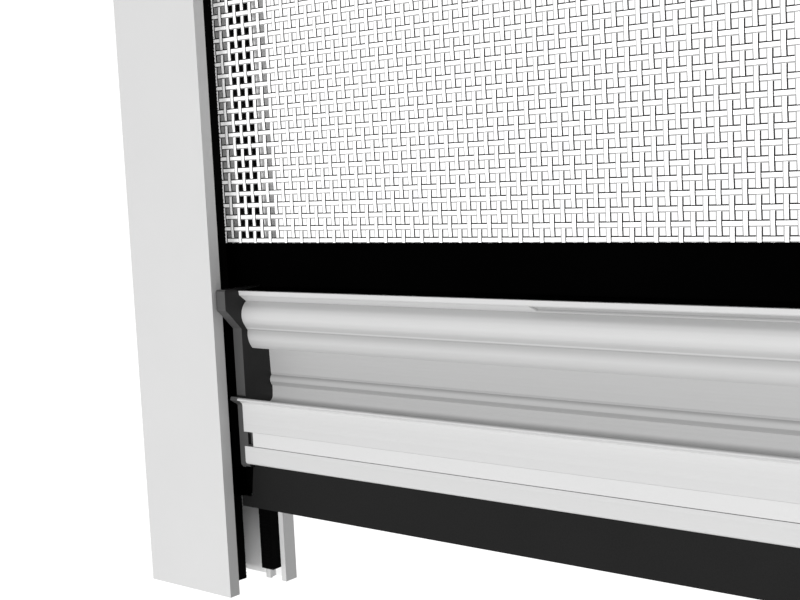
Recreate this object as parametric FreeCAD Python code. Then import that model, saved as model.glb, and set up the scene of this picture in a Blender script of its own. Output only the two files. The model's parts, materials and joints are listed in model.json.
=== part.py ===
import FreeCAD, Part
import math
import os

# Retractable insect screen for a window: two side rails, a cassette with a spring
# roller, a mesh that winds onto the roller and a pull bar that slides in the rails.
# Millimetres. X runs across the window, Y from the room's side (-) to the far side (+),
# Z up. The origin is under the middle of the screen, on the sill.

Vector = FreeCAD.Vector

# Overall
overall_width = 500.0
overall_height = 600.0
mesh_setback = 13.3          # mesh plane behind the front faces of rails and cassette
running_gap = 0.5            # between the bar's guides and the rails
loose_gap = 0.3              # between soft pieces and what they run on
brush_gap = 0.15             # between the rails' brushes and the band
fit_gap = 0.1                # between pieces pushed into each other
overrun = 1.0                # how far a cutting tool runs past the face it opens

# Side rails, sections measured from the outer side and from the front face
rail_front_width = 30.7
rail_rear_width = 34.0
rail_depth = 21.0
rail_wall = 1.4
rail_edge_depth = 3.2        # turned-in edge of the front face
rail_corner_radius = 0.8
chamber_width = 15.4         # closed screw chamber at the outer side, webs included
rail_hole_radius = 2.3
rail_access_radius = 4.8
rail_hole_low = 150.0
rail_hole_spacing = 300.0

# Brush seals and their T-shaped seats
pile_width = 3.8
pile_tip_width = 3.6
backing_width = 4.8
backing_thickness = 1.2
seat_wall = 1.1
seat_pocket_width = 5.2
seat_pocket_depth = 1.7
seat_mouth_width = 4.2
seat_hook = 0.9
front_brush_centre = 21.1    # from the rail's outer side
rear_brush_lift = 3.7        # the rear brush stops short of the rail's lower end

# Cassette
cassette_height = 46.0
cassette_depth = 43.0
cassette_wall = 1.5
cassette_nose_radius = 12.0
cassette_back_radius = 2.0
cassette_slot_front = 8.6    # slot that the mesh comes out of, from the front face
cassette_slot_back = 17.0
end_plate = 3.0
leg_depth = 34.0             # how far the cassette's legs reach into the rails
leg_shoulder = 6.0
leg_wall = 2.2
port_radius = 2.7
port_inset = 3.9
screw_radius = 1.45
screw_head_radius = 2.9
screw_head_depth = 1.5
screw_length = 14.0

# Roller
roller_tube_radius = 9.5
roller_tube_wall = 1.0
roller_end_gap = 12.0        # from the screen's outer side to the tube's end
roll_radius = 11.6           # tube with the turns of mesh that stay on it
roll_clearance = 0.35        # between the mesh plane and the roll's front
bush_length = 18.0
bush_flange = 3.0
boss_radius = 6.2
boss_gap = 0.5
socket_floor = 1.0           # plate left at the bottom of the shaft's and the pin's sockets
spline_radius = 1.3
spline_pocket_radius = 1.5
spline_pocket_wall = 0.9
spline_centre = 7.6
spline_mouth = 1.6
shaft_radius = 3.0
shaft_flat = 2.2
shaft_length = 190.0
idler_radius = 2.5
idler_length = 22.0
bearing_clearance = 0.05
spring_outer_radius = 4.9
spring_wire = 1.4
spring_turns = 17
spring_facets = 8            # straight runs of wire in each turn
collar_length = 11.0
collar_radius = 4.8
collar_clearance = 4.4       # between the collar and the inner bush
inner_bush_length = 7.0

# Mesh and its black lower band
mesh_edge = 18.0             # from the screen's outer side to the mesh's side edge
mesh_thickness = 0.7
mesh_web = 0.3
mesh_ridge_width = 1.2
mesh_gap_columns = 5
mesh_gap_rows = 5
mesh_ridges_per_gap = 3
mesh_gap_size = 16.0
band_thickness = 0.8
band_height = 10.5
band_lift = 1.0              # band's lower edge above the bar
band_tab_depth = 6.4         # tab below the band's lower edge, inside the bar
band_wing_drop = 2.4         # how far its ends reach down beside the bar's end caps

# Pull bar, placed from the mesh plane and from its own underside
bar_bottom = 34.2            # its underside above the sill at rest
bar_height = 44.2
bar_end = 34.45              # from the screen's outer side to the bar's cut end
bar_wall = 1.3
bar_back = 3.3               # rear face behind the mesh plane
bar_front = 8.7              # lower face in front of the mesh plane
bar_corner_radius = 1.0

# Crown of the bar: insets from its front edge, drops from the bar's top
crown_front = 7.7            # front edge in front of the mesh plane
edge_lean = 0.2
edge_drop = 1.1
bevel_inset = 2.45
bevel_drop = 2.8
bulge_inset = 1.1            # lower end of the large bulge, where its straight flank begins
bulge_drop = 8.3
bulge_rise = 1.1
crease_inset = 2.4           # lower end of the flank, where the small bulge begins
crease_drop = 10.2
small_bulge_rise = 0.6
ceiling_inset = 3.75
pocket_start = 120.7         # grip pocket in the bevel, from the screen's outer side
pocket_depth = 0.5
pocket_slant = 1.2
pocket_margin = 0.15         # share of the bevel left above and below the pocket

# Finger channel and its turned-up lip
grip_back = 1.85             # rear wall of the channel at its ceiling, behind the mesh plane
grip_lean = 0.5              # how much further back the wall is at the floor
grip_floor = 14.6
grip_ceiling = 29.25
grip_corner_radius = 1.7
ridge_lift = 5.45            # middle of the wall's ridge above the channel's floor
ridge_height = 2.9
ridge_rise = 0.65
groove_depth = 0.15          # of the grooves above and below the ridge
groove_run = 0.5             # height of the upper groove's sloping side
lip_front = 10.4
lip_top = 17.4
lip_foot = 0.9
lip_edge_width = 0.5
lip_edge_height = 0.6
cove_height = 1.6            # hollow under the lip, with a fine step in it
cove_depth = 0.1
cove_step_lift = 0.85
cove_step_start = 0.35       # front and back of the step, in front of the lower face
cove_step_end = 0.2

# Groove of the lower face and the strip that fills it
trim_low = 4.8
trim_high = 8.55
trim_depth = 3.0
trim_start = 3.1             # the trim strip stops short of the bar's ends
trim_gap = 0.15              # seam below the strip
trim_seam = 0.03             # and above it
trim_barb = 0.75
trim_neck = 1.8

# Closed chambers of the bar
chamber_floor = 4.1
chamber_roof_drop = 9.5
chamber_taper = 0.9

# Channel in the bar's top and the black strip in it that grips the band
channel_depth = 8.2
channel_inset = 4.1          # its front wall, behind the crown's edge
channel_rise = 1.7
channel_shoulder = 3.4
channel_neck = 1.5
channel_neck_inset = 2.2
mouth_inset = 1.3
retainer_gap = 0.2
retainer_rise = 0.4
retainer_flange = 1.7
retainer_lean = 0.85
retainer_stem = 2.8          # front of its stem, in front of the mesh plane
retainer_slope = 1.3
slit_depth = 5.8

# Bottom seal
seal_centre = 4.9            # in front of the mesh plane
seal_thickness = 1.8
seal_drop = 12.0
seal_head_width = 4.6
seal_head_height = 1.3
seal_slot_width = 2.2
seal_slot_head_width = 5.0
seal_slot_head_height = 1.5
seal_shoulder_drop = 1.3     # where the blade widens, below the bar
seal_shoulder_reach = 0.4
seal_waist_reach = 1.4
seal_tab_height = 2.8
seal_tab_reach = 3.7
seal_tab_chamfer = 0.5

# End caps
cap_thickness = 3.2
cap_front = 12.4
cap_waist = 7.4
cap_rise = 0.6               # how far the cap stands above the bar
cap_drop = 1.1               # and how far it reaches below
cap_back = 0.2               # rear face of its plate, behind the mesh plane
cap_chamfer = 0.4
cap_nose_height = 5.0
cap_nose_radius = 0.6
cap_slope_height = 5.2
cap_corner_radius = 1.0
ear_setback = 0.5            # ear behind the lip's front, at the cap's waist
ear_height = 2.4
ear_chamfer = 0.8
web_overlap = 0.5
guide_front = 9.7
guide_top_drop = 3.0
guide_slope_depth = 2.0
guide_slope_height = 3.0
foot_front = 6.9
foot_drop = 8.6
foot_setback = 1.9
plug_length = 12.0
plug_gap = 0.2
key_front = 2.3              # key in the trim groove, behind the lower face

# Derived places
left_x = -overall_width / 2
front_y = -cassette_depth / 2
mesh_y = front_y + mesh_setback
rail_top = overall_height - cassette_height
roller_y = mesh_y + mesh_thickness / 2 + roll_clearance + roll_radius
roller_z = overall_height - cassette_height / 2
rear_brush_centre = rail_rear_width - seat_wall - seat_pocket_width / 2
tube_start = left_x + roller_end_gap
flange_start = tube_start - bush_flange
boss_end = flange_start - boss_gap
shaft_end = left_x + socket_floor + shaft_length
collar_start = shaft_end - inner_bush_length - collar_clearance - collar_length
spring_start = tube_start + bush_length + loose_gap
spring_end = collar_start - loose_gap
bar_top = bar_bottom + bar_height
band_bottom = bar_top + band_lift
band_top = band_bottom + band_height
cap_inner_x = left_x + bar_end
cap_outer_x = cap_inner_x - cap_thickness


def bow(start, end, rise):
    """An arc to end whose middle stands rise to the right of the straight line."""
    run_a, run_b = end[0] - start[0], end[1] - start[1]
    length = math.hypot(run_a, run_b)
    middle = ((start[0] + end[0]) / 2 + rise * run_b / length,
              (start[1] + end[1]) / 2 - rise * run_a / length)
    return middle, end


def quarter(start, end, side=1):
    """A quarter circle to end, bulging to the right, or to the left with side -1."""
    return bow(start, end, side * math.dist(start, end) * (math.sqrt(0.5) - 0.5))


def face_from(points, place):
    """A flat face from an outline: (a, b) ends a line, ((a, b), (a, b)) an arc."""
    first = place(*points[0])
    here = first
    edges = []
    for step in points[1:]:
        if isinstance(step[0], tuple):
            middle, end = place(*step[0]), place(*step[1])
            edges.append(Part.Arc(here, middle, end).toShape())
        else:
            end = place(*step)
            edges.append(Part.LineSegment(here, end).toShape())
        here = end
    if here.distanceToPoint(first) > 1e-6:
        edges.append(Part.LineSegment(here, first).toShape())
    return Part.Face(Part.Wire(edges))


def along_x(points, start, end):
    """Extrudes an outline given in (y, z)."""
    face = face_from(points, lambda y, z: Vector(start, y, z))
    return face.extrude(Vector(end - start, 0, 0))


def along_y(points, start, end):
    """Extrudes an outline given in (x, z)."""
    face = face_from(points, lambda x, z: Vector(x, start, z))
    return face.extrude(Vector(0, end - start, 0))


def along_z(points, start, end):
    """Extrudes an outline given in (x, y)."""
    face = face_from(points, lambda x, y: Vector(x, y, start))
    return face.extrude(Vector(0, 0, end - start))


def rod(radius, x_start, x_end, y=None, z=None):
    """A round bar along X, on the roller's axis unless another is given."""
    y = roller_y if y is None else y
    z = roller_z if z is None else z
    return Part.makeCylinder(radius, x_end - x_start, Vector(x_start, y, z), Vector(1, 0, 0))


def block(low, high):
    """A plain rectangular solid between two corners."""
    size = [b - a for a, b in zip(low, high)]
    return Part.makeBox(size[0], size[1], size[2], Vector(*low))


def mirrored(shape):
    return shape.mirror(Vector(0, 0, 0), Vector(1, 0, 0))


def shifted(points, dx, dy):
    """Moves an outline, arcs included."""
    moved = []
    for step in points:
        if isinstance(step[0], tuple):
            moved.append(tuple((a + dx, b + dy) for a, b in step))
        else:
            moved.append((step[0] + dx, step[1] + dy))
    return moved


def seat_points(centre, base, inward):
    """Outline of a brush seat on a wall at base, from low to high along the wall."""
    half_outer = seat_pocket_width / 2 + seat_wall
    half_pocket = seat_pocket_width / 2
    half_mouth = seat_mouth_width / 2
    hook = base + inward * seat_pocket_depth
    tip = hook + inward * seat_hook
    left = [(centre - half_outer, base), (centre - half_outer, tip), (centre - half_mouth, tip),
            (centre - half_mouth, hook), (centre - half_pocket, hook), (centre - half_pocket, base)]
    right = [(2 * centre - a, b) for a, b in reversed(left)]
    return left + right


def brush_points(centre, base, inward, reach):
    """Outline of a brush strip whose backing lies on base and whose pile ends at reach."""
    back = base + inward * fit_gap
    shoulder = back + inward * backing_thickness
    half_back = backing_width / 2
    half_pile = pile_width / 2
    half_tip = pile_tip_width / 2
    return [(centre - half_back, back), (centre - half_back, shoulder),
            (centre - half_pile, shoulder), (centre - half_tip, reach),
            (centre + half_tip, reach), (centre + half_pile, shoulder),
            (centre + half_back, shoulder), (centre + half_back, back)]


def side_rail():
    """Left rail: screw chamber, channel, turned-in front edge and two brush seats."""
    rear_face = rail_depth - rail_wall
    edge_face = rail_front_width - rail_wall
    corner = rail_corner_radius
    section = [(corner, 0), (rail_front_width, 0), (rail_front_width, rail_edge_depth),
               (edge_face, rail_edge_depth), (edge_face, rail_wall)]
    section += reversed(seat_points(front_brush_centre, rail_wall, 1))
    section += [(chamber_width, rail_wall), (chamber_width, rear_face)]
    section += seat_points(rear_brush_centre, rear_face, -1)[:-1]
    section += [(rail_rear_width, rail_depth), (0, rail_depth), (0, corner)]
    section.append(quarter((0, corner), (corner, 0)))
    hollow = [(rail_wall, rail_wall), (chamber_width - rail_wall, rail_wall),
              (chamber_width - rail_wall, rear_face), (rail_wall, rear_face)]
    rail = along_z(shifted(section, left_x, front_y), 0, rail_top)
    rail = rail.cut(along_z(shifted(hollow, left_x, front_y), 0, rail_top))
    web = left_x + chamber_width - rail_wall
    y = front_y + rail_depth / 2
    for z in (rail_hole_low, rail_hole_low + rail_hole_spacing):
        rail = rail.cut(rod(rail_hole_radius, left_x - overrun,
                            left_x + rail_wall + overrun, y, z))
        rail = rail.cut(rod(rail_access_radius, web - overrun, web + rail_wall + overrun, y, z))
    return rail


def front_brush():
    reach = mesh_setback - band_thickness / 2 - brush_gap
    section = brush_points(front_brush_centre, rail_wall, 1, reach)
    return along_z(shifted(section, left_x, front_y), 0, rail_top - loose_gap)


def rear_brush():
    reach = mesh_setback + band_thickness / 2 + brush_gap
    section = brush_points(rear_brush_centre, rail_depth - rail_wall, -1, reach)
    return along_z(shifted(section, left_x, front_y), rear_brush_lift, rail_top - loose_gap)


def cassette_outline(inset=0.0):
    """The cassette's section in (y, z), or one set in from it: a rounded nose at the top."""
    nose = cassette_nose_radius - inset
    back = cassette_back_radius - inset
    front, rear = front_y + inset, front_y + cassette_depth - inset
    low, top = rail_top + inset, overall_height - inset
    return [(front, low), (rear, low), (rear, top - back),
            quarter((rear, top - back), (rear - back, top)),
            (front + nose, top),
            quarter((front + nose, top), (front, top - nose))]


def screw_ports():
    """Centres, in (y, z), of the two screw ports inside the cassette."""
    rear_y = front_y + cassette_depth
    upper_y = front_y + cassette_nose_radius
    return [(upper_y, overall_height - port_inset), (rear_y - port_inset, rail_top + port_inset)]


def slot_seat():
    """Brush seat on the slot's front lip: its middle, its base and its outline in (y, z)."""
    middle = rail_top + cassette_wall + seat_wall + seat_pocket_width / 2
    base = front_y + cassette_slot_front - seat_pocket_depth - seat_hook
    outline = [(y, z) for z, y in seat_points(middle, base, 1)]
    back = base - cassette_wall
    return middle, base, [(back, outline[0][1])] + outline + [(back, outline[-1][1])]


def cassette_housing():
    """Extruded housing: closed walls, slot at the bottom, brush seat and screw ports."""
    start = left_x + end_plate
    end = -start
    housing = along_x(cassette_outline(), start, end)
    housing = housing.cut(along_x(cassette_outline(cassette_wall), start, end))
    slot = block((start, front_y + cassette_slot_front, rail_top - overrun),
                 (end, front_y + cassette_slot_back, rail_top + cassette_wall + overrun))
    housing = housing.cut(slot).fuse(along_x(slot_seat()[2], start, end))
    outside = along_x(cassette_outline(), start, end)
    for y, z in screw_ports():
        housing = housing.fuse(rod(port_radius, start, end, y, z).common(outside))
    for y, z in screw_ports():
        housing = housing.cut(rod(screw_radius + fit_gap, start, end, y, z))
    leg_mouth = block((start, front_y + rail_wall, rail_top - overrun),
                      (left_x + chamber_width, front_y + rail_depth - rail_wall,
                       rail_top + leg_shoulder + loose_gap))
    return housing.cut(leg_mouth).cut(mirrored(leg_mouth)).removeSplitter()


def cassette_brush():
    middle, base, _ = slot_seat()
    reach = mesh_y - band_thickness / 2 - loose_gap
    outline = [(y, z) for z, y in brush_points(middle, base, 1, reach)]
    start = left_x + chamber_width + loose_gap
    return along_x(outline, start, -start)


def cassette_end(with_flat):
    """Left end: plate, roller boss with its socket, and a hollow leg for the rail."""
    plate = along_x(cassette_outline(), left_x, left_x + end_plate)
    plate = plate.fuse(rod(boss_radius, left_x + end_plate, boss_end))
    low = (left_x + rail_wall + loose_gap, front_y + rail_wall + loose_gap, rail_top - leg_depth)
    high = (left_x + chamber_width - rail_wall - loose_gap,
            front_y + rail_depth - rail_wall - loose_gap, rail_top + leg_shoulder)
    leg = block(low, high)
    hollow_low = [value + leg_wall for value in low[:2]] + [low[2] - overrun]
    hollow_high = [value - leg_wall for value in high[:2]] + [rail_top - leg_wall]
    leg = leg.cut(block(hollow_low, hollow_high))
    end = plate.fuse(leg)
    socket_radius = (shaft_radius if with_flat else idler_radius) + fit_gap
    socket = rod(socket_radius, left_x + socket_floor, boss_end + overrun)
    if with_flat:
        socket = socket.cut(shaft_key(left_x, boss_end + overrun, fit_gap))
    end = end.cut(socket)
    for y, z in screw_ports():
        end = end.cut(countersunk_screw(y, z, fit_gap))
    return end.removeSplitter()


def countersunk_screw(y, z, clearance=0.0):
    """Screw whose head lies flush with the left end plate."""
    head = screw_head_radius + clearance
    shank = screw_radius + clearance
    reach = screw_length + clearance
    profile = [(0, 0), (0, head), (screw_head_depth, shank), (reach, shank), (reach, 0)]
    face = face_from(profile, lambda x, r: Vector(left_x + x, y, z + r))
    return face.revolve(Vector(left_x, y, z), Vector(1, 0, 0), 360)


def cassette_screws():
    """Four flush screws that hold the end plates to the housing."""
    left = [countersunk_screw(y, z) for y, z in screw_ports()]
    return Part.makeCompound(left + [mirrored(screw) for screw in left])


def spline_rod(radius, start, end):
    return rod(radius, start, end, roller_y, roller_z + spline_centre)


def roller_tube():
    """Drawn tube with a keyhole groove that holds the mesh's spline."""
    outside = rod(roller_tube_radius, tube_start, -tube_start)
    inside = rod(roller_tube_radius - roller_tube_wall, tube_start, -tube_start)
    keyhole = spline_rod(spline_pocket_radius + spline_pocket_wall, tube_start, -tube_start)
    tube = outside.cut(inside).fuse(keyhole.common(outside))
    tube = tube.cut(spline_rod(spline_pocket_radius, tube_start, -tube_start))
    mouth = block((tube_start, roller_y - spline_mouth / 2, roller_z + spline_centre),
                  (-tube_start, roller_y + spline_mouth / 2,
                   roller_z + roller_tube_radius + overrun))
    return tube.cut(mouth).removeSplitter()


def roller_spline():
    start = left_x + mesh_edge
    return spline_rod(spline_radius, start, -start)


def tube_plug(start, end):
    """Disc that fits inside the roller tube, notched for the tube's keyhole."""
    plug = rod(roller_tube_radius - roller_tube_wall - fit_gap, start, end)
    notch = spline_rod(spline_pocket_radius + spline_pocket_wall + fit_gap,
                       start - overrun, end + overrun)
    return plug.cut(notch)


def roller_bush(bore_radius):
    """Left end bush: a flange outside the tube and a notched plug inside it."""
    plug_end = tube_start + bush_length
    flange = rod(roller_tube_radius, flange_start, tube_start - fit_gap)
    bush = flange.fuse(tube_plug(tube_start - fit_gap, plug_end))
    bore = rod(bore_radius + bearing_clearance, flange_start - overrun, plug_end + overrun)
    return bush.cut(bore).removeSplitter()


def inner_bush():
    """Disc that carries the free end of the spring's shaft inside the tube."""
    start = shaft_end - inner_bush_length
    bore = rod(shaft_radius + bearing_clearance, start - overrun, shaft_end + overrun)
    return tube_plug(start, shaft_end).cut(bore)


def shaft_key(start, end, clearance=0.0):
    """What is missing from the round shaft above its flat."""
    half = shaft_radius + overrun
    return block((start, roller_y - half, roller_z + shaft_flat + clearance),
                 (end, roller_y + half, roller_z + half))


def spring_shaft():
    """Fixed rod with a flat at its socket end."""
    shaft = rod(shaft_radius, left_x + socket_floor + fit_gap, shaft_end)
    return shaft.cut(shaft_key(left_x, boss_end))


def torsion_spring():
    """Helical spring of square wire, each turn a ring of straight flat-sided runs."""
    runs = spring_turns * spring_facets
    pitch = (spring_end - spring_start - spring_wire) / runs
    radii = (spring_outer_radius - spring_wire, spring_outer_radius)
    sections = []
    for i in range(runs + 1):
        x = spring_start + i * pitch
        angle = 2 * math.pi * i / spring_facets
        corners = [(x, radii[0]), (x + spring_wire, radii[0]),
                   (x + spring_wire, radii[1]), (x, radii[1])]
        sections.append([Vector(a, roller_y - r * math.sin(angle), roller_z + r * math.cos(angle))
                         for a, r in corners])
    outlines = [sections[0], sections[-1]]
    for here, there in zip(sections, sections[1:]):
        outlines.append([here[0], here[1], there[1], there[0]])
        outlines.append([here[2], here[3], there[3], there[2]])
        # The two sides that face along the shaft twist, so each is two flat triangles
        for a, b in ((1, 2), (3, 0)):
            outlines.append([here[a], here[b], there[b]])
            outlines.append([here[a], there[b], there[a]])
    faces = [Part.Face(Part.makePolygon(points + points[:1])) for points in outlines]
    return Part.makeSolid(Part.makeShell(faces))


def spring_collar():
    """Collar clamped on the shaft, which takes the spring's fixed end."""
    collar_end = collar_start + collar_length
    bore = rod(shaft_radius + fit_gap / 2, collar_start - overrun, collar_end + overrun)
    return rod(collar_radius, collar_start, collar_end).cut(bore)


def idler_pin():
    """Pin in the right end's boss, on which the roller's idler bush turns."""
    start = left_x + socket_floor + fit_gap
    return mirrored(rod(idler_radius, start, start + idler_length))


def mesh_roll():
    """Turns of mesh that stay on the tube when the screen is closed."""
    start = left_x + mesh_edge
    core = rod(roller_tube_radius + fit_gap, start, -start)
    return rod(roll_radius, start, -start).cut(core)


def mesh_panel():
    """Thin wall with upright ridges in front, level ridges behind and rows of gaps."""
    low_x = left_x + mesh_edge
    half = mesh_thickness / 2
    ridges_across = mesh_gap_columns * mesh_ridges_per_gap
    ridges_up = mesh_gap_rows * mesh_ridges_per_gap
    column = (-2 * low_x - mesh_ridge_width) / ridges_across
    row = (roller_z - band_top - mesh_ridge_width) / ridges_up
    panel = block((low_x, mesh_y - mesh_web / 2, band_top),
                  (-low_x, mesh_y + mesh_web / 2, roller_z))
    ridges = []
    for i in range(ridges_across + 1):
        x = low_x + i * column
        ridges.append(block((x, mesh_y - half, band_top),
                            (x + mesh_ridge_width, mesh_y, roller_z)))
    for i in range(ridges_up + 1):
        z = band_top + i * row
        ridges.append(block((low_x, mesh_y, z),
                            (-low_x, mesh_y + half, z + mesh_ridge_width)))
    panel = panel.multiFuse(ridges)
    middle = mesh_ridges_per_gap // 2 + 0.5
    gaps = []
    for i in range(mesh_gap_columns):
        x = low_x + (i * mesh_ridges_per_gap + middle) * column + mesh_ridge_width / 2
        for j in range(mesh_gap_rows):
            z = band_top + (j * mesh_ridges_per_gap + middle) * row + mesh_ridge_width / 2
            gaps.append(block((x - mesh_gap_size / 2, mesh_y - half, z - mesh_gap_size / 2),
                              (x + mesh_gap_size / 2, mesh_y + half, z + mesh_gap_size / 2)))
    return panel.cut(Part.makeCompound(gaps))


def mesh_band():
    """Black welt on the mesh's lower edge, with a tab in the bar and a wing at each end."""
    edge = left_x + mesh_edge
    wing = cap_outer_x - loose_gap
    wing_bottom = band_bottom - band_wing_drop
    tab = cap_inner_x + loose_gap
    outline = [(edge, band_top), (edge, wing_bottom), (wing, wing_bottom), (wing, band_bottom),
               (tab, band_bottom), (tab, band_bottom - band_tab_depth)]
    outline += [(-x, z) for x, z in reversed(outline)]
    return along_y(outline, mesh_y - band_thickness / 2, mesh_y + band_thickness / 2)


def bevel_ends():
    """Upper and lower end, in (y, z), of the bevel under the crown's edge."""
    return ((-crown_front + edge_lean, bar_height - edge_drop),
            (-crown_front + bevel_inset, bar_height - bevel_drop))


def crown_points():
    """Front of the crown, downwards: edge, bevel, large bulge with its flank, small bulge."""
    bevel_top, bevel_low = bevel_ends()
    bulge_low = (-crown_front + bulge_inset, bar_height - bulge_drop)
    crease = (-crown_front + crease_inset, bar_height - crease_drop)
    ceiling = (-crown_front + ceiling_inset, grip_ceiling)
    return [(-crown_front, bar_height), bevel_top, bevel_low,
            bow(bevel_low, bulge_low, bulge_rise), crease,
            bow(crease, ceiling, small_bulge_rise)]


def grip_wall(z, deeper=0.0):
    """Point of the finger channel's leaning rear wall, or one deeper in it."""
    fallen = (grip_ceiling - z) / (grip_ceiling - grip_floor)
    return (grip_back + grip_lean * fallen + deeper, z)


def grip_points():
    """Finger channel: ceiling, rear wall with a ridge between two grooves, floor and lip."""
    ridge_middle = grip_floor + ridge_lift
    ridge_top = grip_wall(ridge_middle + ridge_height / 2, groove_depth)
    ridge_low = grip_wall(ridge_middle - ridge_height / 2, groove_depth)
    corner = grip_wall(grip_floor + grip_corner_radius)
    floor = (corner[0] - grip_corner_radius, grip_floor)
    lip_edge = (-lip_front, lip_top - lip_edge_height)
    lip_back = (-lip_front + lip_edge_width, lip_top)
    step_z = lip_edge[1] - cove_step_lift
    step_start, step_end = [(-bar_front - y, step_z) for y in (cove_step_start, cove_step_end)]
    return [grip_wall(grip_ceiling), grip_wall(ridge_top[1] + groove_run), ridge_top,
            bow(ridge_top, ridge_low, ridge_rise), corner, quarter(corner, floor, -1),
            (-bar_front + lip_foot, grip_floor),
            (-bar_front + lip_foot - lip_edge_width, grip_floor + lip_foot),
            lip_back, quarter(lip_back, lip_edge), bow(lip_edge, step_start, -cove_depth),
            step_end, (-bar_front, lip_edge[1] - cove_height)]


def seal_slot_points():
    """T-shaped slot in the bar's underside that holds the bottom seal."""
    half_neck, half_head = seal_slot_width / 2, seal_slot_head_width / 2
    roof = bar_wall + seal_slot_head_height
    front = [(-half_neck, 0), (-half_neck, bar_wall), (-half_head, bar_wall), (-half_head, roof)]
    back = [(-y, z) for y, z in reversed(front)]
    return shifted(front + back, -seal_centre, 0)


def top_channel_points():
    """Open channel in the bar's top, from its rear wall to the crown's edge."""
    floor = bar_height - channel_depth
    front_low = (-crown_front + channel_inset, floor)
    front_high = (-crown_front + channel_inset, bar_height - channel_shoulder)
    return [(bar_back - bar_wall, bar_height), (bar_back - bar_wall, floor), front_low,
            bow(front_low, front_high, -channel_rise),
            (-crown_front + channel_neck_inset, bar_height - channel_neck),
            (-crown_front + mouth_inset, bar_height)]


def bar_section():
    """Outline of the pull bar in (y, z) from the mesh plane and the bar's underside."""
    corner = bar_corner_radius
    face = -bar_front
    lower_face = [(face, trim_high), (face + trim_depth, trim_high),
                  (face + trim_depth, trim_low), (face, trim_low),
                  (face, corner), quarter((face, corner), (face + corner, 0))]
    return (crown_points() + grip_points() + lower_face + seal_slot_points()
            + [(bar_back, 0), (bar_back, bar_height)] + top_channel_points())


def bar_hollows():
    """Closed chambers of the bar, behind the small bulge and behind the lower face."""
    inner_back = bar_back - bar_wall
    roof = bar_height - chamber_roof_drop
    ceiling = grip_ceiling + bar_wall
    front = -crown_front + ceiling_inset
    upper = [(front, roof), (front + chamber_taper, ceiling), (inner_back, ceiling),
             (inner_back, roof)]
    shelf = grip_floor - bar_wall
    step = trim_high + bar_wall
    groove_back = -bar_front + trim_depth + bar_wall
    lower = [(-bar_front + bar_wall, shelf), (-bar_front + bar_wall, step),
             (groove_back, step), (groove_back, chamber_floor), (inner_back, chamber_floor),
             (inner_back, shelf)]
    return upper, lower


def bar_place(points):
    """Moves an outline from the bar's own measures to its place in the frame."""
    return shifted(points, mesh_y, bar_bottom)


def bevel_pocket():
    """Long shallow cut in the bevel with slanted ends."""
    upper, lower = [Vector(0, mesh_y + y, bar_bottom + z) for y, z in bevel_ends()]
    down = lower - upper
    high = upper + down * pocket_margin
    low = lower - down * pocket_margin
    inward = Vector(0, -down.z, down.y).normalize() * pocket_depth
    start = left_x + pocket_start
    corners = [high + Vector(start, 0, 0), low + Vector(start + pocket_slant, 0, 0),
               low - Vector(start + pocket_slant, 0, 0), high - Vector(start, 0, 0)]
    outline = [corner - inward for corner in corners]
    face = Part.Face(Part.makePolygon(outline + outline[:1]))
    return face.extrude(inward * 2)


def pull_bar():
    """Extruded pull bar with its chambers, finger channel and bevel pocket."""
    bar = along_x(bar_place(bar_section()), cap_inner_x, -cap_inner_x)
    for hollow in bar_hollows():
        bar = bar.cut(along_x(bar_place(hollow), cap_inner_x, -cap_inner_x))
    return bar.cut(bevel_pocket()).removeSplitter()


def trim_strip():
    """Snap-in strip that fills the groove of the lower face."""
    face = -bar_front
    low, high = trim_low + trim_gap, trim_high - trim_seam
    deep = face + trim_depth - fit_gap
    outline = [(face, low), (face, high), (face + trim_neck, high), (deep, high - trim_barb),
               (deep, low + trim_barb), (face + trim_neck, low)]
    start = cap_inner_x + trim_start
    return along_x(bar_place(outline), start, -start)


def band_retainer():
    """Black strip along the bar's top that grips the band and buffers the cassette."""
    front = -crown_front + mouth_inset + retainer_gap
    back = bar_back - bar_wall - retainer_gap
    edge = bar_height - fit_gap
    hump = bar_height + retainer_rise
    bottom = bar_height - channel_depth + loose_gap
    flange = bar_height - retainer_flange
    half_slit = band_thickness / 2 + fit_gap
    outline = [(front, edge), (front + retainer_lean, bar_height - retainer_slope),
               (front + retainer_slope, flange), (-retainer_stem, flange),
               (-retainer_stem, bottom), (back, bottom), (back, edge), (half_slit, hump),
               (half_slit, bar_height - slit_depth), (-half_slit, bar_height - slit_depth),
               (-half_slit, hump), bow((-half_slit, hump), (front, edge), fit_gap)]
    return along_x(bar_place(outline), cap_inner_x, -cap_inner_x)


def bottom_seal():
    """Rubber blade under the bar; its lower corners reach into the rails."""
    head_x = cap_inner_x + loose_gap
    centre_y = mesh_y - seal_centre
    head_low = bar_bottom + bar_wall + fit_gap
    head = block((head_x, centre_y - seal_head_width / 2, head_low),
                 (-head_x, centre_y + seal_head_width / 2, head_low + seal_head_height))
    low = bar_bottom - seal_drop
    tab_top = low + seal_tab_height
    shoulder = bar_bottom - seal_shoulder_drop
    waist = cap_inner_x - seal_waist_reach
    tab = waist - seal_tab_reach
    outline = [(head_x, head_low), (head_x, shoulder),
               (cap_inner_x - seal_shoulder_reach, shoulder),
               (waist, tab_top + seal_tab_chamfer), (waist - seal_tab_chamfer, tab_top),
               (tab, tab_top), (tab, low)]
    outline += [(-x, z) for x, z in reversed(outline)]
    blade = along_y(outline, centre_y - seal_thickness / 2, centre_y + seal_thickness / 2)
    return blade.fuse(head).removeSplitter()


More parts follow.
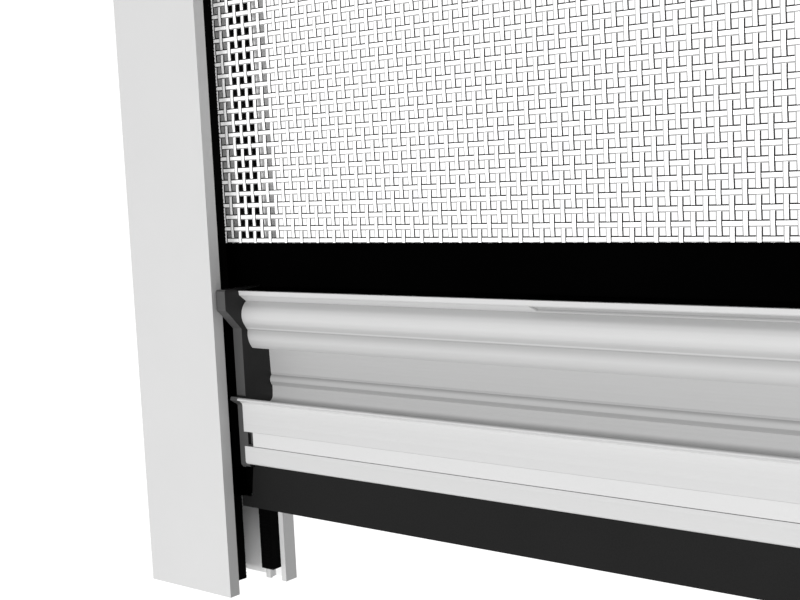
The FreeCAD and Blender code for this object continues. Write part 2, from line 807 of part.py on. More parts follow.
def cap_plate():
    """Side view, in (y, z), of the end cap's plate: nose, waist, ear and straight foot."""
    top = bar_height + cap_rise
    nose_low = top - cap_nose_height
    nose_start = (-cap_front, nose_low + cap_nose_radius)
    nose_end = (-cap_front + cap_nose_radius, nose_low - cap_nose_radius)
    ear_front = -lip_front + ear_setback
    corner_start = (-cap_waist, cap_corner_radius - cap_drop)
    corner_end = (-cap_waist + cap_corner_radius, -cap_drop)
    return [(cap_back, top), (-cap_front + cap_chamfer, top), (-cap_front, top - cap_chamfer),
            nose_start, quarter(nose_start, nose_end),
            (-cap_waist, nose_low - cap_slope_height), (-cap_waist, lip_top),
            (ear_front + cap_chamfer, lip_top), (ear_front, lip_top - ear_chamfer),
            (-cap_waist, lip_top - ear_height), corner_start,
            quarter(corner_start, corner_end), (cap_back, -cap_drop)]


def bar_end_cap():
    """Left end cap: plate, guide that runs in the rail's channel, foot, plug and key."""
    top = bar_height + cap_rise
    rear_face = bar_back - fit_gap
    cap = along_x(bar_place(cap_plate()), cap_outer_x, cap_inner_x)
    web = [(cap_back - web_overlap, -cap_drop), (rear_face, -cap_drop), (rear_face, top),
           (cap_back - web_overlap, top)]
    web_x = left_x + rear_brush_centre + pile_width / 2 + loose_gap
    cap = cap.fuse(along_x(bar_place(web), web_x, cap_inner_x))
    guide_top = top - guide_top_drop
    guide = [(-guide_front, -foot_drop), (-guide_front, guide_top - guide_slope_height),
             (-guide_front + guide_slope_depth, guide_top), (-loose_gap, guide_top),
             (-loose_gap, -foot_drop)]
    guide_x = left_x + front_brush_centre + seat_pocket_width / 2 + seat_wall + running_gap
    cap = cap.fuse(along_x(bar_place(guide), guide_x, cap_outer_x))
    foot = [(-foot_front, -foot_drop), (-foot_front, 0), (-loose_gap, 0),
            (-loose_gap, -foot_drop)]
    cap = cap.fuse(along_x(bar_place(foot), guide_x, cap_inner_x - foot_setback))
    plug_front = -bar_front + trim_depth + bar_wall + plug_gap
    plug_back = bar_back - bar_wall - plug_gap
    plug_low = chamber_floor + plug_gap
    plug_high = grip_floor - bar_wall - plug_gap
    plug = [(plug_front, plug_low), (plug_back, plug_low), (plug_back, plug_high),
            (plug_front, plug_high)]
    cap = cap.fuse(along_x(bar_place(plug), cap_inner_x, cap_inner_x + plug_length))
    key_back = -bar_front + trim_depth - fit_gap
    key_low, key_high = trim_low + plug_gap, trim_high - plug_gap
    key = [(-bar_front + key_front, key_low), (key_back, key_low), (key_back, key_high),
           (-bar_front + key_front, key_high)]
    key_end = cap_inner_x + trim_start - plug_gap
    cap = cap.fuse(along_x(bar_place(key), cap_inner_x, key_end))
    return cap.removeSplitter()


def build_parts():
    """Every piece under its node name."""
    rail = side_rail()
    front_pile = front_brush()
    rear_pile = rear_brush()
    cap = bar_end_cap()
    return {
        "side_rail_left": rail,
        "side_rail_right": mirrored(rail),
        "front_brush_left": front_pile,
        "front_brush_right": mirrored(front_pile),
        "rear_brush_left": rear_pile,
        "rear_brush_right": mirrored(rear_pile),
        "cassette_housing": cassette_housing(),
        "cassette_brush": cassette_brush(),
        "cassette_end_left": cassette_end(True),
        "cassette_end_right": mirrored(cassette_end(False)),
        "cassette_screws": cassette_screws(),
        "roller_tube": roller_tube(),
        "roller_spline": roller_spline(),
        "roller_bush_spring": roller_bush(shaft_radius),
        "roller_bush_inner": inner_bush(),
        "roller_bush_idler": mirrored(roller_bush(idler_radius)),
        "spring_shaft": spring_shaft(),
        "torsion_spring": torsion_spring(),
        "spring_collar": spring_collar(),
        "idler_pin": idler_pin(),
        "mesh_roll": mesh_roll(),
        "mesh_panel": mesh_panel(),
        "mesh_band": mesh_band(),
        "band_retainer": band_retainer(),
        "pull_bar": pull_bar(),
        "bar_trim_strip": trim_strip(),
        "bar_end_cap_left": cap,
        "bar_end_cap_right": mirrored(cap),
        "bottom_seal": bottom_seal(),
    }


os.makedirs("parts", exist_ok=True)
for name, shape in build_parts().items():
    shape.exportStep("parts/" + name + ".step")
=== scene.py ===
import json
import math

import bpy
import numpy as np
from mathutils import Matrix, Vector

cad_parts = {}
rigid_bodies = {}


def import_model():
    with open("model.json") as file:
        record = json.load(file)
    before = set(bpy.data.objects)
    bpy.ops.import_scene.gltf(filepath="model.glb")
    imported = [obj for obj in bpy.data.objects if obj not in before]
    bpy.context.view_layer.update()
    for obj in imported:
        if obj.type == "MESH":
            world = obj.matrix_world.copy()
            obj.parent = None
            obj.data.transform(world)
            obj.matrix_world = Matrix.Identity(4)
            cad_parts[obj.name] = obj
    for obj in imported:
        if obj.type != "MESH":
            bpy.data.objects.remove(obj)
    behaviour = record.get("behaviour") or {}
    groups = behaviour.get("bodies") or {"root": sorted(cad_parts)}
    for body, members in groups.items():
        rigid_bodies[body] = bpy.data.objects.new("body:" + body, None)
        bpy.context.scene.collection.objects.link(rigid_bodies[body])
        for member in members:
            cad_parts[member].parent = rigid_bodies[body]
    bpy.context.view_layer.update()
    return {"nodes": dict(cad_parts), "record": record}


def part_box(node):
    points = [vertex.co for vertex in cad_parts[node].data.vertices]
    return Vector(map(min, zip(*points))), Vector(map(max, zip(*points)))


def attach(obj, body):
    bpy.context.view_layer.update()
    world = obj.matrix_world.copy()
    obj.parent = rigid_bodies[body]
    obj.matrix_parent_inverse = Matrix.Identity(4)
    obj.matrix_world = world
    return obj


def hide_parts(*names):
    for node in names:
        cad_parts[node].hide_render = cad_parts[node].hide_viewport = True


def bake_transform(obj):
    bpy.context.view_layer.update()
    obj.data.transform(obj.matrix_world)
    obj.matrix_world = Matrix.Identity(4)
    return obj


# Looks of the retractable window screen. The frame is in metres, so sizes given in
# millimetres are multiplied by mm. X runs across the window, -Y is the room's side.

mm = 0.001
X, Y, Z = range(3)
sharp = 0.2 * mm                 # width over which a shade with a sharp edge fades
gloss_spread = 0.06              # how far the roughness strays to each side
noise_range = (0.3, 0.7)

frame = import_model()
nodes = frame["nodes"]


# Small groups of shader nodes, each of which returns the output to go on with

def colour(grey):
    """A neutral colour."""
    return (grey, grey, grey, 1.0)


def stretched(tree, vector, scale):
    """Coordinates scaled along each axis."""
    mapping = tree.nodes.new("ShaderNodeMapping")
    mapping.inputs["Scale"].default_value = scale
    tree.links.new(vector, mapping.inputs["Vector"])
    return mapping.outputs["Vector"]


def noise(tree, vector, scale=1.0, detail=3.0):
    """Soft noise between 0 and 1."""
    node = tree.nodes.new("ShaderNodeTexNoise")
    node.inputs["Scale"].default_value = scale
    node.inputs["Detail"].default_value = detail
    tree.links.new(vector, node.inputs["Vector"])
    return node.outputs["Fac"]


def blend_range(tree, factor, low, high):
    """Spreads soft noise, which is mostly within the noise range, from low to high."""
    node = tree.nodes.new("ShaderNodeMapRange")
    node.inputs["From Min"].default_value = noise_range[0]
    node.inputs["From Max"].default_value = noise_range[1]
    node.inputs["To Min"].default_value = low
    node.inputs["To Max"].default_value = high
    tree.links.new(factor, node.inputs["Value"])
    return node.outputs["Result"]


def mix_colours(tree, factor, low, high):
    """A mix of two colours, each a constant or another node's output. The Mix node's colour
    sockets are found by number, because its sockets for other values have the same names."""
    node = tree.nodes.new("ShaderNodeMix")
    node.data_type = "RGBA"
    for socket, tone in ((node.inputs[6], low), (node.inputs[7], high)):
        if isinstance(tone, tuple):
            socket.default_value = tone
        else:
            tree.links.new(tone, socket)
    tree.links.new(factor, node.inputs[0])
    return node.outputs[2]


def fade_along(tree, vector, along, near, far, start=1.0, end=0.0):
    """A value that goes smoothly from start to end between two distances in a direction."""
    distance = tree.nodes.new("ShaderNodeVectorMath")
    distance.operation = "DOT_PRODUCT"
    distance.inputs[1].default_value = along
    tree.links.new(vector, distance.inputs[0])
    node = tree.nodes.new("ShaderNodeMapRange")
    node.interpolation_type = "SMOOTHSTEP"
    node.inputs["From Min"].default_value = near
    node.inputs["From Max"].default_value = far
    node.inputs["To Min"].default_value = start
    node.inputs["To Max"].default_value = end
    tree.links.new(distance.outputs["Value"], node.inputs["Value"])
    return node.outputs["Result"]


def fade(tree, vector, axis, near, far, start=1.0, end=0.0):
    """The same along one of the axes X, Y and Z."""
    along = tuple(float(axis == letter) for letter in "XYZ")
    return fade_along(tree, vector, along, near, far, start, end)


def combined(tree, operation, one, other):
    """Two values put together by an operation such as MAXIMUM or MULTIPLY."""
    node = tree.nodes.new("ShaderNodeMath")
    node.operation = operation
    tree.links.new(one, node.inputs[0])
    tree.links.new(other, node.inputs[1])
    return node.outputs["Value"]


def dimmed(tree, tone, share):
    """A colour times a value."""
    node = tree.nodes.new("ShaderNodeVectorMath")
    node.operation = "SCALE"
    tree.links.new(tone, node.inputs[0])
    tree.links.new(share, node.inputs["Scale"])
    return node.outputs["Vector"]


def without_signs(tree, vector):
    """A vector's size along each axis, which is the same on both sides of the screen."""
    node = tree.nodes.new("ShaderNodeVectorMath")
    node.operation = "ABSOLUTE"
    tree.links.new(vector, node.inputs[0])
    return node.outputs["Vector"]


class Surface:
    """A material in the making, with the colour that it has so far."""

    def __init__(self, name, dark, light, rough, specular=0.5, metallic=0.0, glow=0.0,
                 patch=60.0, grain=(2500.0, 2500.0, 2500.0), relief=0.01 * mm):
        """Slow patches between two greys, uneven gloss and fine grain. A glow is painted light:
        on the white mesh it keeps the threads white where they lie in shade."""
        self.name = name
        self.material = bpy.data.materials.new(name)
        self.material.use_nodes = True
        self.tree = self.material.node_tree
        self.shader = self.tree.nodes["Principled BSDF"]
        coordinates = self.tree.nodes.new("ShaderNodeTexCoord")
        self.position = coordinates.outputs["Object"]
        self.normal = coordinates.outputs["Normal"]
        self.shader.inputs["Metallic"].default_value = metallic
        self.shader.inputs["Specular IOR Level"].default_value = specular
        self.shader.inputs["Emission Color"].default_value = colour(1.0)
        self.shader.inputs["Emission Strength"].default_value = glow
        slow = noise(self.tree, self.position, patch)
        fine = noise(self.tree, stretched(self.tree, self.position, grain), detail=2.0)
        self.paint(mix_colours(self.tree, slow, colour(dark), colour(light)))
        self.tree.links.new(blend_range(self.tree, fine, rough - gloss_spread,
                                        rough + gloss_spread),
                            self.shader.inputs["Roughness"])
        self.emboss(fine, relief, 0.5)

    def paint(self, tone):
        """Makes a node's output the surface's colour."""
        self.tone = tone
        self.tree.links.new(tone, self.shader.inputs["Base Color"])

    def shade(self, share):
        """Multiplies the colour by a value."""
        self.paint(dimmed(self.tree, self.tone, share))

    def emboss(self, height, distance, strength=1.0):
        """Relief on top of the relief that the surface has."""
        node = self.tree.nodes.new("ShaderNodeBump")
        for link in self.shader.inputs["Normal"].links:
            self.tree.links.new(link.from_socket, node.inputs["Normal"])
        node.inputs["Distance"].default_value = distance
        node.inputs["Strength"].default_value = strength
        self.tree.links.new(height, node.inputs["Height"])
        self.tree.links.new(node.outputs["Normal"], self.shader.inputs["Normal"])

    def draw(self, depth):
        """Fine lines along X, as a die leaves them on an extrusion."""
        fine_lines = stretched(self.tree, self.position, (1.0, 900.0, 900.0))
        self.emboss(noise(self.tree, fine_lines, detail=1.0), depth)

    def paint_facing_light(self, grey, direction, full, none):
        """Painted light: a lighter grey on the faces that turn towards a direction. It fades
        between two lengths of the normal in that direction."""
        towards = fade_along(self.tree, self.normal, direction, full, none)
        self.paint(mix_colours(self.tree, towards, self.tone, colour(grey)))

    def paint_crease_shade(self, edge, end, share):
        """Painted shade along an edge: a share of the colour at one height. It recovers from
        there to another height, and is whole on the edge's other side."""
        past = edge + math.copysign(sharp, edge - end)
        outside = fade(self.tree, self.position, "Z", edge, past, 0.0, 1.0)
        inside = fade(self.tree, self.position, "Z", edge, end, share, 1.0)
        self.shade(combined(self.tree, "MAXIMUM", outside, inside))

    def pocket(self, inward, floor, front, share):
        """Painted shade: a share of the colour on the floor of a shallow pocket in a slanted
        face. The floor is given by its distance along the face's inward normal, and nothing
        changes in front of the Y of front."""
        above = floor - 0.1 * mm
        deep = fade_along(self.tree, self.position, inward, above - sharp, above, 1.0, share)
        in_front = fade(self.tree, self.position, "Y", front, front + sharp)
        self.shade(combined(self.tree, "MAXIMUM", deep, in_front))

    def paint_depth_shade(self, axis, near, far, share):
        """Painted shade, as in a slot: a colour that falls to a share of itself between two
        distances from the frame's origin."""
        distance = without_signs(self.tree, self.position)
        self.shade(fade(self.tree, distance, axis, near, far, 1.0, share))

    def paint_black_shade(self, axis, near, far):
        """Painted shade down to black, as deep in a slot, with the shine taken away too."""
        self.paint_depth_shade(axis, near, far, 0.0)
        distance = without_signs(self.tree, self.position)
        black = fade(self.tree, distance, axis, near, far, 0.0, 1.0)
        for link in self.shader.inputs["Metallic"].links:
            black = combined(self.tree, "MAXIMUM", link.from_socket, black)
        self.tree.links.new(black, self.shader.inputs["Metallic"])

    def spot(self, grey, limits, painted_glow=0.0):
        """Another grey, as painted shade or light, and perhaps a painted glow that stands in
        for light, on the places within every limit. A limit is (coordinates, axis, full, none),
        with the coordinates' signs left out."""
        inside, *others = [
            fade(self.tree, without_signs(self.tree, coordinates), axis, full, none)
            for coordinates, axis, full, none in limits]
        for other in others:
            inside = combined(self.tree, "MULTIPLY", inside, other)
        self.paint(mix_colours(self.tree, inside, self.tone, colour(grey)))
        if painted_glow:
            self.shader.inputs["Emission Strength"].default_value = painted_glow
            self.tree.links.new(mix_colours(self.tree, inside, colour(0.0), colour(1.0)),
                                self.shader.inputs["Emission Color"])


rail_low, rail_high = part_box("side_rail_left")
rail_front_width = 30.7 * mm
rail_wall = 1.4 * mm


def white_aluminium():
    """Rails and cassette. Painted shade darkens the inner edge of a rail's front, and a lighter
    grey with a painted glow stands in for light from the rail's lower end on its rear wall
    beside the rear brush."""
    surface = Surface("white_aluminium", 0.64, 0.67, 0.42)
    outer_x, front_y, foot_z = -rail_low.x, -rail_low.y, rail_low.z
    edge_x = outer_x - rail_front_width + sharp / 2
    edge_back = front_y - 3.5 * mm
    # Painted shade on the sideways faces of the inner edge of a rail's front
    surface.spot(0.54, [(surface.normal, "X", 0.95, 0.9),
                        (surface.position, "X", edge_x, edge_x + sharp),
                        (surface.position, "Y", edge_back, edge_back - 1.0 * mm)])
    wall_y = rail_wall - rail_high.y
    # Painted light on the rail's rear wall beside the rear brush: a lighter grey and a glow,
    # stronger towards the rail's lower end
    surface.spot(0.8, [(surface.normal, "Y", 0.95, 0.9),
                       (surface.position, "Y", wall_y + sharp, wall_y + 2 * sharp),
                       (surface.position, "Y", wall_y - sharp, wall_y - 2 * sharp),
                       (surface.position, "X", outer_x - 22.0 * mm, outer_x - 14.0 * mm),
                       (surface.position, "Z", foot_z + 8.0 * mm, foot_z + 24.0 * mm)],
                 painted_glow=0.12)
    return surface


bar_low, bar_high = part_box("pull_bar")


def bar_aluminium():
    """Pull bar, with painted light on its faces towards the room, and painted shade in its
    creases, its grip pocket and its finger channel.
    """
    surface = Surface("bar_aluminium", 0.45, 0.48, 0.36)
    surface.draw(0.12 * mm)
    # Painted light on the bar's faces towards the room and a little downwards
    surface.paint_facing_light(0.61, (0.0, -0.92, -0.39), 0.86, 0.4)
    # Painted shade along the moulding's creases: edge and end in mm below the bar's top, and
    # the share of colour left
    for edge_drop, end_drop, share in ((9.3, 6.6, 0.82), (10.0, 12.6, 0.72),
                                       (22.3, 23.8, 0.92), (24.6, 26.1, 0.76)):
        surface.paint_crease_shade(bar_high.z - edge_drop * mm, bar_high.z - end_drop * mm, share)
    # Painted shade on the floor of the grip pocket
    inward = Vector((0.0, 0.6, 0.8))
    front_edge = Vector((0.0, bar_low.y, bar_high.z))
    surface.pocket(inward, inward.dot(front_edge) + 1.35 * mm, bar_low.y + 3.1 * mm, 0.75)
    # Painted shade in the finger channel behind the bar's front
    reach = -bar_low.y
    surface.paint_depth_shade("Y", reach - 3.0 * mm, reach - 7.2 * mm, 0.82)
    return surface


def black_plastic():
    """The bar's end caps: a painted highlight on their front edges, and painted shade that
    makes their guides and feet black.
    """
    surface = Surface("black_plastic", 0.009, 0.013, 0.42, specular=0.3)
    # Painted highlight on the caps' faces towards the room
    surface.paint_facing_light(0.078, (0.0, -1.0, 0.0), 0.6, 0.3)
    # Painted shade: the caps' guides deep in the rails, and their feet, are black
    cap_reach = bar_high.x + 3.2 * mm
    surface.paint_black_shade("X", cap_reach - 0.15 * mm, cap_reach - 0.05 * mm)
    cap_foot = bar_low.z - 1.3 * mm
    surface.paint_black_shade("Z", cap_foot + sharp, cap_foot)
    return surface


surfaces = [
    white_aluminium(),
    bar_aluminium(),
    black_plastic(),
    Surface("white_plastic", 0.64, 0.68, 0.5),
    Surface("black_pile", 0.0006, 0.0022, 0.95, specular=0.03,
            grain=(4000.0, 300.0, 4000.0), relief=0.05 * mm),
    Surface("black_band", 0.0004, 0.001, 0.95, specular=0.0,
            grain=(1800.0, 1800.0, 1800.0), relief=0.02 * mm),
    Surface("black_rubber", 0.005, 0.008, 0.7, specular=0.2),
    # The mesh's glow is painted light, which keeps its threads white in shade
    Surface("white_mesh", 0.92, 0.96, 0.55, specular=0.3, glow=0.5),
    # The ribbons' slanted sides: dark and faint painted shade on the white yarn
    Surface("mesh_edge_painted_shade", 0.03, 0.04, 0.7, specular=0.05),
    Surface("mesh_edge_painted_faint_shade", 0.36, 0.42, 0.7, specular=0.1),
    Surface("bare_aluminium", 0.5, 0.62, 0.35, metallic=1.0, grain=(120.0, 3500.0, 3500.0)),
    Surface("grey_plastic", 0.2, 0.24, 0.5),
    Surface("steel", 0.42, 0.5, 0.3, metallic=1.0),
]
materials = {surface.name: surface.material for surface in surfaces}

for part in frame["record"]["subparts"]:
    slots = nodes[part["node"]].data.materials
    slots.clear()
    slots.append(materials[part["material_slot"]])
nodes["pull_bar"].data.materials[0] = materials["bar_aluminium"]


# Meshes from pieces, each of which is (points, faces, looks): the faces have four corners,
# and the looks are the numbers of their materials

def joined(pieces):
    """Several pieces as one."""
    starts = np.cumsum([0] + [len(points) for points, _, _ in pieces])
    points = np.concatenate([points for points, _, _ in pieces])
    faces = np.concatenate([faces + start for (_, faces, _), start in zip(pieces, starts)])
    looks = np.concatenate([looks for _, _, looks in pieces])
    return points, faces, looks


def add_object(name, pieces, used, smooth_angle=None):
    """A mesh object made of pieces, with the materials that it uses."""
    points, faces, looks = joined(pieces)
    faces = faces.astype(np.int32)
    data = bpy.data.meshes.new(name)
    data.vertices.add(len(points))
    data.vertices.foreach_set("co", points.astype(np.float32).ravel())
    data.loops.add(faces.size)
    data.loops.foreach_set("vertex_index", faces.ravel())
    data.polygons.add(len(faces))
    data.polygons.foreach_set("loop_start", np.arange(0, faces.size, 4, dtype=np.int32))
    data.polygons.foreach_set("material_index", looks.astype(np.int32))
    data.update(calc_edges=True)
    data.validate()
    for material in used:
        data.materials.append(materials[material])
    if smooth_angle is not None:
        data.polygons.foreach_set("use_smooth", np.ones(len(data.polygons), bool))
        data.set_sharp_from_angle(angle=math.radians(smooth_angle))
    made = bpy.data.objects.new(name, data)
    bpy.context.scene.collection.objects.link(made)
    return made


# Woven mesh: flat ribbons with thin slanted edges in painted shade, over one and under one

hole_left = -204.9 * mm          # left edge of one hole, from which the columns count
hole_bottom = 91.11 * mm         # bottom edge of the lowest row of holes
column_pitch = 2.6985 * mm
row_pitch = 3.0 * mm
warp_width = 1.13 * mm           # upright ribbons, half way up their slanted sides
weft_width = 1.14 * mm           # level ribbons
ribbon_thickness = 0.1 * mm
ribbon_slant = 0.3 * mm          # how far a side slants from its back to its front
weave_depth = 0.06 * mm          # how far a ribbon swings to each side of the mesh plane
mesh_panels = 3
end_slip = 0.012                 # share of the bar's motion that the mesh's ends are off by
seam_place = 0.3                 # where a panel ends, in rows over its top hole's lower edge
mesh_materials = ("white_mesh", "mesh_edge_painted_shade", "mesh_edge_painted_faint_shade")
ribbon_looks = (0, 1, 0, 2)      # materials of a ribbon's back, side, front and other side; the sides are painted shade
mesh_smooth_angle = 30           # degrees

mesh_low, mesh_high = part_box("mesh_panel")
mesh_y = (mesh_low.y + mesh_high.y) / 2
first_column = math.ceil((mesh_low.x + warp_width - hole_left) / column_pitch)
last_column = math.floor((mesh_high.x - hole_left) / column_pitch)
last_row = math.floor((mesh_high.z - hole_bottom) / row_pitch)
all_columns = np.arange(first_column, last_column + 1)
all_rows = np.array_split(np.arange(0, last_row + 1), mesh_panels)
column_places = hole_left - warp_width / 2 + all_columns * column_pitch


def ribbon(path, across, width, outward, closed=False):
    """A ribbon along a path: its back, its two slanted sides and its front."""
    half, front = (width + ribbon_slant) / 2, (width - ribbon_slant) / 2
    deep = ribbon_thickness / 2
    section = [(-half, -deep), (half, -deep), (front, deep), (-front, deep)]
    corners = [path + across * a + outward * b for a, b in section]
    points = np.stack(corners, 1).reshape(-1, 3)
    here = np.arange(len(path) if closed else len(path) - 1)
    there = (here + 1) % len(path)
    faces, looks = [], []
    for corner, look in enumerate(ribbon_looks):
        after = (corner + 1) % 4
        faces.append(np.stack([here * 4 + corner, here * 4 + after,
                               there * 4 + after, there * 4 + corner], 1))
        looks.append(np.full(len(here), look))
    if not closed:
        last = (len(path) - 1) * 4
        faces.append(np.array([[3, 2, 1, 0], [last, last + 1, last + 2, last + 3]]))
        looks.append(np.zeros(2))
    return points, np.concatenate(faces), np.concatenate(looks)


def swings(number, others):
    """How far out of the mesh a ribbon swings where it crosses others, over one and under
    one."""
    return np.where((number + others) % 2 == 0, weave_depth, -weave_depth)


def woven_panel(name, rows, low_z, high_z):
    """One level strip of the mesh, with upright ribbons from low_z to high_z."""
    to_room = np.array([0.0, -1.0, 0.0])
    row_places = hole_bottom - weft_width / 2 + rows * row_pitch
    pieces = []
    for column, x in zip(all_columns, column_places):
        z = np.concatenate([[low_z], row_places, [high_z]])
        y = mesh_y - np.concatenate([[0.0], swings(column, rows), [0.0]])
        path = np.stack([np.full(len(z), x), y, z], 1)
        pieces.append(ribbon(path, np.array([1.0, 0, 0]), warp_width, to_room))
    for row, z in zip(rows, row_places):
        x = np.concatenate([[mesh_low.x], column_places, [mesh_high.x]])
        y = mesh_y + np.concatenate([[0.0], swings(row, all_columns), [0.0]])
        path = np.stack([x, y, np.full(len(x), z)], 1)
        pieces.append(ribbon(path, np.array([0, 0, 1.0]), weft_width, to_room))
    return add_object(name, pieces, mesh_materials, mesh_smooth_angle)


low = mesh_low.z
for number, rows in enumerate(all_rows):
    is_top = number == mesh_panels - 1
    high = mesh_high.z if is_top else hole_bottom + (rows[-1] + seam_place) * row_pitch
    panel = woven_panel("screen_mesh_%d" % (number + 1), rows, low, high)
    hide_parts("mesh_panel")
    # How much of the bar's motion the panel's lower and upper ends take
    shares = [(mesh_high.z - z) / (mesh_high.z - mesh_low.z) for z in (low, high)]
    shares = [min(max(share, end_slip), 1 - end_slip) for share in shares]
    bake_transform(panel)
    low = high


# Turns of mesh left on the roller: rings and level ribbons round a smooth core

roll_low, roll_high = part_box("mesh_roll")
roll_centre = (roll_low + roll_high) / 2
roll_axis = np.array([0.0, roll_centre.y, roll_centre.z])
roll_radius = (roll_high.z - roll_low.z) / 2
core_radius = roll_radius - weave_depth - ribbon_thickness
bore_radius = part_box("roller_tube")[1].z - roll_centre.z
rows_round = 24
core_sides = 96


def directions(steps):
    """Directions out of the roller's axis, evenly round it."""
    angle = 2 * math.pi * np.arange(steps) / steps
    return np.stack([np.zeros(steps), -np.cos(angle), np.sin(angle)], 1)


def roll_core():
    """A tube: an outer and an inner skin, joined at both ends."""
    rings = []
    for x, radius in ((roll_low.x, core_radius), (roll_high.x, core_radius),
                      (roll_high.x, bore_radius), (roll_low.x, bore_radius)):
        rings.append(roll_axis + np.array([x, 0, 0]) + directions(core_sides) * radius)
    step = np.arange(core_sides)
    after = (step + 1) % core_sides
    faces = []
    for ring in range(4):
        here, there = ring * core_sides, (ring + 1) % 4 * core_sides
        faces.append(np.stack([here + step, there + step, there + after, here + after], 1))
    return np.concatenate(rings), np.concatenate(faces), np.zeros(4 * core_sides)


def rolled_mesh(name):
    """The core, closed upright ribbons round it and level ribbons along it."""
    pieces = [roll_core()]
    middle = core_radius + weave_depth + ribbon_thickness / 2
    spokes = directions(rows_round)
    for column, x in zip(all_columns, column_places):
        reach = middle + swings(column, np.arange(rows_round))
        path = roll_axis + np.array([x, 0, 0]) + spokes * reach[:, None]
        pieces.append(ribbon(path, np.array([1.0, 0, 0]), warp_width, spokes, closed=True))
    for row, spoke in enumerate(spokes):
        reach = middle - np.concatenate([[0.0], swings(row, all_columns), [0.0]])
        path = roll_axis + spoke * reach[:, None]
        path[:, X] = np.concatenate([[roll_low.x], column_places, [roll_high.x]])
        across = np.array([0, spoke[2], -spoke[1]])
        pieces.append(ribbon(path, across, weft_width, spoke))
    return add_object(name, pieces, mesh_materials, mesh_smooth_angle)


roll = rolled_mesh("mesh_on_roller")
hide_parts("mesh_roll")
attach(roll, "roller")


# Brush seals: a backing strip, a dense core and rows of tufts

tuft_pitch = 0.9 * mm
tuft_width = 0.75 * mm
tuft_columns = 6
tuft_lean = 0.03 * mm            # standard deviation of where a tuft's tip goes
tuft_taper = 0.3                 # a tuft's width at its tip, as a share of that at its root
pile_core_share = 0.96           # the core's share of the pile's width and height
pile_width = 3.8 * mm
backing_depth = 1.2 * mm
front_flare = 1.5                # how many times as wide a pile is at its tips
rear_flare = 1.15
cassette_flare = 1.1
front_start = 0.6 * mm           # where the front piles begin above the rails' lower ends
random_numbers = np.random.default_rng(5)

box_corners = np.array([(a, b, c) for a in (0, 1) for b in (0, 1) for c in (0, 1)], float)
box_faces = np.array([(0, 1, 3, 2), (4, 6, 7, 5), (0, 4, 5, 1), (2, 3, 7, 6), (0, 2, 6, 4),
                      (1, 5, 7, 3)])
tuft_faces = np.array([(3, 2, 1, 0), (4, 5, 6, 7), (0, 1, 5, 4), (1, 2, 6, 5), (2, 3, 7, 6),
                       (3, 0, 4, 7)])


def brush(name, node, along, across, outward, flare, start=0.0):
    """A brush seal in a node's box: along and across are axes, outward is a signed Y, flare
    is how many times as wide the pile is at its tips, and start how far inside the box the
    brush begins."""
    box_low, box_high = (np.array(corner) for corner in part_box(node))
    box_low[along] += start
    depth = box_high[Y] - box_low[Y]
    length = box_high[along] - box_low[along]
    width = box_high[across] - box_low[across]
    middle = (box_low[across] + box_high[across]) / 2

    def place(far, aside, out):
        """Points from places along, across and out of the backing."""
        made = np.zeros((len(far), 3))
        made[:, along] = box_low[along] + far
        made[:, across] = middle + aside
        made[:, Y] = box_low[Y] + out if outward > 0 else box_high[Y] - out
        return made

    def block(size, end, spread):
        """A block along the whole brush, spread times as wide at its outer end."""
        far, aside, out = box_corners.T
        aside = (aside - 0.5) * size * (1 + (spread - 1) * out)
        return place(far * length, aside, out * end), box_faces, np.zeros(6)

    def tufts():
        """Rows of tufts that lean a little at random."""
        rows = int(length / tuft_pitch)
        row, column = np.meshgrid(np.arange(rows), np.arange(tuft_columns), indexing="ij")
        far = (row.ravel() + 0.5) * length / rows
        aside = (column.ravel() - (tuft_columns - 1) / 2) * pile_width / tuft_columns
        lean = random_numbers.normal(0, tuft_lean, (2, len(far)))
        tip = depth - np.abs(random_numbers.normal(0, tuft_lean, len(far)))
        half = tuft_width / 2
        limit = pile_width * flare / 2
        root, top = [], []
        for a, b in ((-half, -half), (half, -half), (half, half), (-half, half)):
            root.append(place(far + a, aside + b, np.full(len(far), backing_depth)))
            top_far = np.clip(far + lean[0] + a * tuft_taper, 0, length)
            top_aside = np.clip(aside * flare + lean[1] + b * tuft_taper, -limit, limit)
            top.append(place(top_far, top_aside, tip))
        points = np.stack(root + top, 1).reshape(-1, 3)
        first = np.arange(len(far))[:, None] * len(root + top)
        faces = np.concatenate([first + face for face in tuft_faces])
        return points, faces, np.zeros(len(faces))

    core = (depth - backing_depth) * pile_core_share + backing_depth
    pieces = [block(width, backing_depth, 1), block(pile_width * pile_core_share, core, flare),
              tufts()]
    made = add_object(name, pieces, ["black_pile"])
    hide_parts(node)
    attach(made, "frame")


for side in ("left", "right"):
    brush("pile_front_" + side, "front_brush_" + side, Z, X, 1, front_flare, front_start)
    brush("pile_rear_" + side, "rear_brush_" + side, Z, X, -1, rear_flare)
brush("pile_cassette", "cassette_brush", X, Z, 1, cassette_flare)


# Floor, light and camera

# The photograph shows no floor, so a pale one lies some way below and out of the picture
floor_data = bpy.data.meshes.new("floor")
floor_reach = 0.6
floor_z = -0.3
floor_corners = [(-floor_reach, -floor_reach, floor_z), (floor_reach, -floor_reach, floor_z),
                 (floor_reach, floor_reach, floor_z), (-floor_reach, floor_reach, floor_z)]
floor_data.from_pydata(floor_corners, [], [(0, 1, 2, 3)])
floor = bpy.data.objects.new("floor", floor_data)
floor_white = Surface("floor_white", 0.82, 0.85, 0.8, specular=0.1, patch=3.0, glow=0.4)
floor.data.materials.append(floor_white.material)
bpy.context.scene.collection.objects.link(floor)


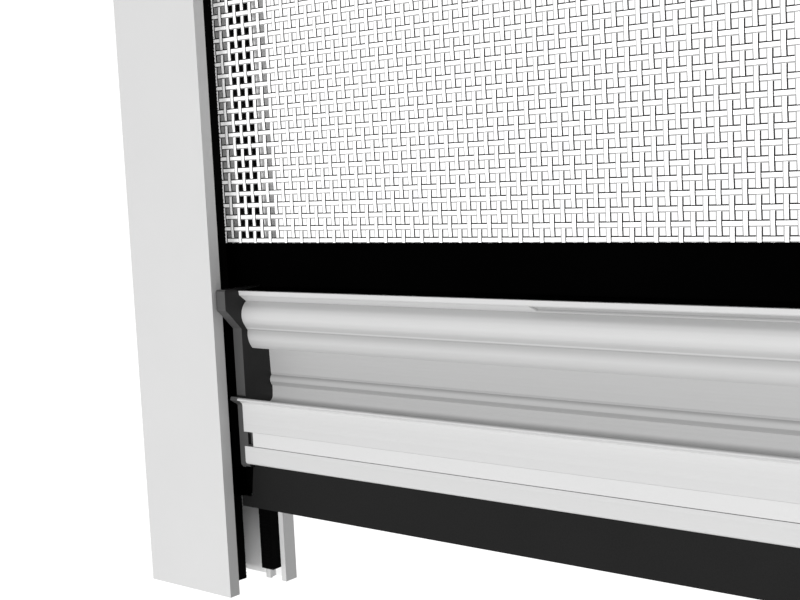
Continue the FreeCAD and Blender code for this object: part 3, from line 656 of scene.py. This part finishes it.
def studio_world():
    """A studio that is bright on the left, and dims to the right, overhead and in front."""
    world = bpy.data.worlds.new("studio")
    world.use_nodes = True
    tree = world.node_tree
    towards = tree.nodes.new("ShaderNodeTexCoord").outputs["Generated"]
    strength = fade(tree, towards, "X", near=-0.38, far=0.35, start=1.15, end=0.08)
    for axis, near, far, start, end in (("Z", 0.15, 0.9, 1.0, 0.3), ("Y", -0.6, 0.1, 0.6, 1.0)):
        share = fade(tree, towards, axis, near, far, start, end)
        strength = combined(tree, "MULTIPLY", strength, share)
    background = tree.nodes["Background"]
    tree.links.new(strength, background.inputs["Strength"])
    background.inputs["Color"].default_value = colour(1.0)
    return world


def softbox(name, place, target, size, power):
    """A square lamp that faces a point."""
    light = bpy.data.lights.new(name, "AREA")
    light.shape = "SQUARE"
    light.size = size
    light.energy = power
    lamp = bpy.data.objects.new(name, light)
    lamp.location = place
    direction = Vector(target) - Vector(place)
    lamp.rotation_euler = direction.to_track_quat("-Z", "Y").to_euler()
    bpy.context.scene.collection.objects.link(lamp)
    return lamp


bpy.context.scene.world = studio_world()
key = softbox("key", place=(0.5, -2.1, 0.05), target=(0, 0, 0.1), size=0.7, power=38)

# The bar casts no shadow of the key, because its recess is bright in the photograph
shadow_casters = bpy.data.collections.new("shadow_casters")
for item in bpy.context.scene.objects:
    if item.type == "MESH" and item != nodes["pull_bar"]:
        shadow_casters.objects.link(item)
key.light_linking.blocker_collection = shadow_casters

# The photograph's camera, found from the mesh's grid and the profiles' long edges
camera_data = bpy.data.cameras.new("camera")
camera_data.sensor_width = 36.0
camera_data.lens = 57.97
camera_data.clip_start = 0.01
camera = bpy.data.objects.new("camera", camera_data)
camera_place = (0.019398, -0.239551, 0.107229)
right = Vector((0.77655, 0.62823, -0.04801))
up = Vector((-0.02726, 0.10963, 0.99360))
back = Vector((0.62947, -0.77027, 0.10226))
turn = Matrix((right, up, back)).transposed().to_4x4()
camera.matrix_world = Matrix.Translation(camera_place) @ turn
bpy.context.scene.collection.objects.link(camera)
bpy.context.scene.camera = camera
bpy.context.scene.view_settings.view_transform = "Standard"
